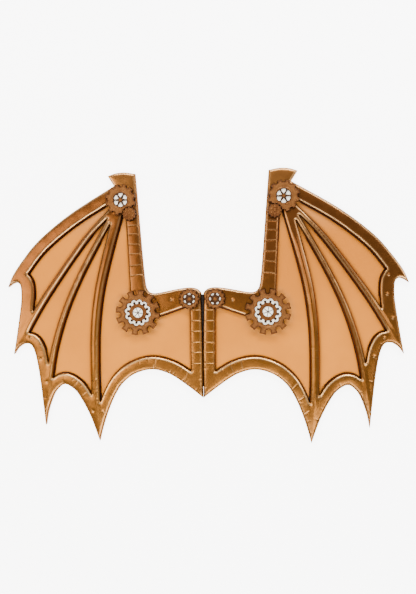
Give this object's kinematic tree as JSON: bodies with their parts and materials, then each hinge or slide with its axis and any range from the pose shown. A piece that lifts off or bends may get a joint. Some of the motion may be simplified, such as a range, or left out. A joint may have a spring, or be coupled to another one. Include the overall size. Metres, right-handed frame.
{
  "type": "costume dragon wings with gears",
  "caption": "Padded costume dragon wings lying flat: bronze ribbed frames over peach membranes, joined at the middle, with gears on the spars and arms.",
  "frame": {"origin": "in the middle of the outline, on the surface that the wings lie on", "axes": "+X across the wings to the right one, +Y from the hem tips towards the claws, +Z out of the decorated face"},
  "size_m": [0.8, 0.54, 0.0208],
  "materials": {
    "frame": "metallic bronze vinyl over foam, satin with soft bright highlights",
    "membrane": "peach vinyl, smooth, low sheen",
    "gears": "bronze brown with dark rubbed edges",
    "inlay": "pale cream with a light sheen",
    "star": "blue grey, satin",
    "strip": "dark brown woven cloth"
  },
  "bodies": {
    "root": {"membrane_right": "membrane", "frame_right": "frame", "upper_gear_right": "gears", "upper_inlay_right": "inlay", "small_cog_right": "gears", "big_gear_right": "gears", "big_inlay_right": "inlay", "inner_wheel_right": "gears", "star_right": "star", "small_gear_right": "gears", "small_inlay_right": "inlay", "membrane_left": "membrane", "frame_left": "frame", "upper_gear_left": "gears", "upper_inlay_left": "inlay", "small_cog_left": "gears", "big_gear_left": "gears", "big_inlay_left": "inlay", "inner_wheel_left": "gears", "star_left": "star", "small_gear_left": "gears", "small_inlay_left": "inlay", "backing_strip": "strip"}
  },
  "joints": []
}
